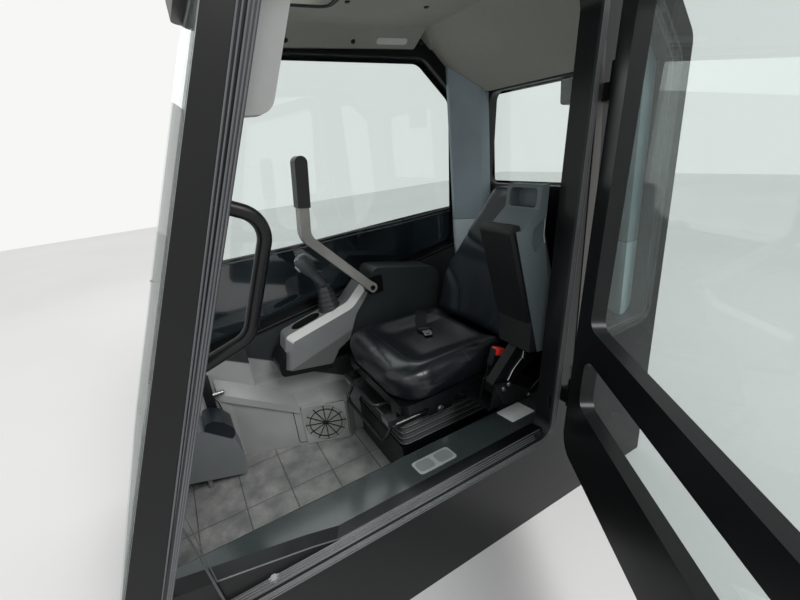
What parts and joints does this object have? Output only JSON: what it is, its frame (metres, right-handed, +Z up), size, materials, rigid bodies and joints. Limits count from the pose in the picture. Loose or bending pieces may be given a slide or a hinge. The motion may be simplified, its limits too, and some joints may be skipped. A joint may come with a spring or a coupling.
{
  "type": "compact track loader operator cab",
  "caption": "Operator's cab of a compact track loader: hollow glazed shell with an open side door, sliding seat, control pods and restraint bar.",
  "frame": {"origin": "centre of the four mounting holes on the underside of the base frame", "axes": "+X towards the machine's left and its door, -Y forward, +Z up"},
  "size_m": [1.9092, 1.68, 1.7389],
  "materials": {
    "frame_steel": "satin black",
    "floor_steel": "satin black",
    "grey_trim": "grained",
    "blue_grey_trim": "grained",
    "lining": "fine grain",
    "pod_grey": "grained",
    "black_plastic": "fine grain",
    "armrest": "grained",
    "light_grey": "grained",
    "seat_vinyl": "glossy vinyl",
    "rubber": "matt",
    "mat_rubber": "worn",
    "glass": "clear",
    "orange_knob": "satin",
    "zinc": "zinc plated"
  },
  "bodies": {
    "cab": {"base_frame": "frame_steel", "floor_pan": "floor_steel", "side_frame_left": "frame_steel", "side_frame_right": "frame_steel", "sill_step": "frame_steel", "front_wall": "frame_steel", "front_header": "frame_steel", "rear_wall": "frame_steel", "right_glass": "glass", "quarter_glass": "glass", "rear_glass": "glass", "windscreen": "glass", "roof_cap": "black_plastic", "roof_glass": "glass", "roof_lining": "lining", "corner_trim_right": "blue_grey_trim", "corner_trim_left": "blue_grey_trim", "side_trim": "grey_trim", "floor_mat": "mat_rubber", "seat_riser": "frame_steel", "seat_bellows": "rubber", "slide_rails": "zinc", "hinge_brackets": "frame_steel", "door_seal": "rubber", "grab_handle": "frame_steel", "post_panel": "light_grey", "pedal_box": "grey_trim", "pedal_cap": "black_plastic", "kick_grille": "grey_trim", "front_lamps": "black_plastic", "rear_lamp": "black_plastic", "suspension_bar": "zinc"},
    "seat": {"seat_pan": "frame_steel", "seat_cushion": "seat_vinyl", "belt_buckle": "black_plastic", "lumbar_knob": "orange_knob", "belt_reel": "black_plastic", "pod_body_right": "pod_grey", "pod_tray_right": "black_plastic", "stick_boot_right": "rubber", "stick_grip_right": "black_plastic", "armrest_box": "armrest", "bar_hinge": "frame_steel", "slide_lever": "zinc"},
    "backrest": {"back_cushion": "seat_vinyl", "back_shell": "black_plastic"},
    "left_pod": {"pod_body_left": "pod_grey", "pod_tray_left": "black_plastic", "stick_boot_left": "rubber", "stick_grip_left": "black_plastic", "pod_arm": "frame_steel"},
    "bar": {"restraint_bar": "light_grey", "bar_pad": "rubber"},
    "door": {"door_frame": "frame_steel", "door_glass_upper": "glass", "door_glass_lower": "glass", "door_handle": "black_plastic", "hinge_straps": "frame_steel"}
  },
  "joints": [
    {"name": "door_swing", "type": "hinge", "parent": "cab", "child": "door", "pos_m": [0.492, 0.409, 0.31], "axis": [0, 0.1045, 0.9945], "range_deg": [-60, 0]},
    {"name": "seat_slide", "type": "slide", "parent": "cab", "child": "seat", "axis": [0, 1, 0], "range_m": [-0.08, 0.03]},
    {"name": "backrest_recline", "type": "hinge", "parent": "seat", "child": "backrest", "pos_m": [0, 0.452, 0.428], "axis": [1, 0, 0], "range_deg": [-5, 12]},
    {"name": "left_pod_lift", "type": "hinge", "parent": "seat", "child": "left_pod", "pos_m": [0, 0.286, 0.424], "axis": [1, 0, 0], "range_deg": [0, 95.6]},
    {"name": "bar_lift", "type": "hinge", "parent": "seat", "child": "bar", "pos_m": [0, 0.153, 0.654], "axis": [1, 0, 0], "range_deg": [0, 60]}
  ]
}
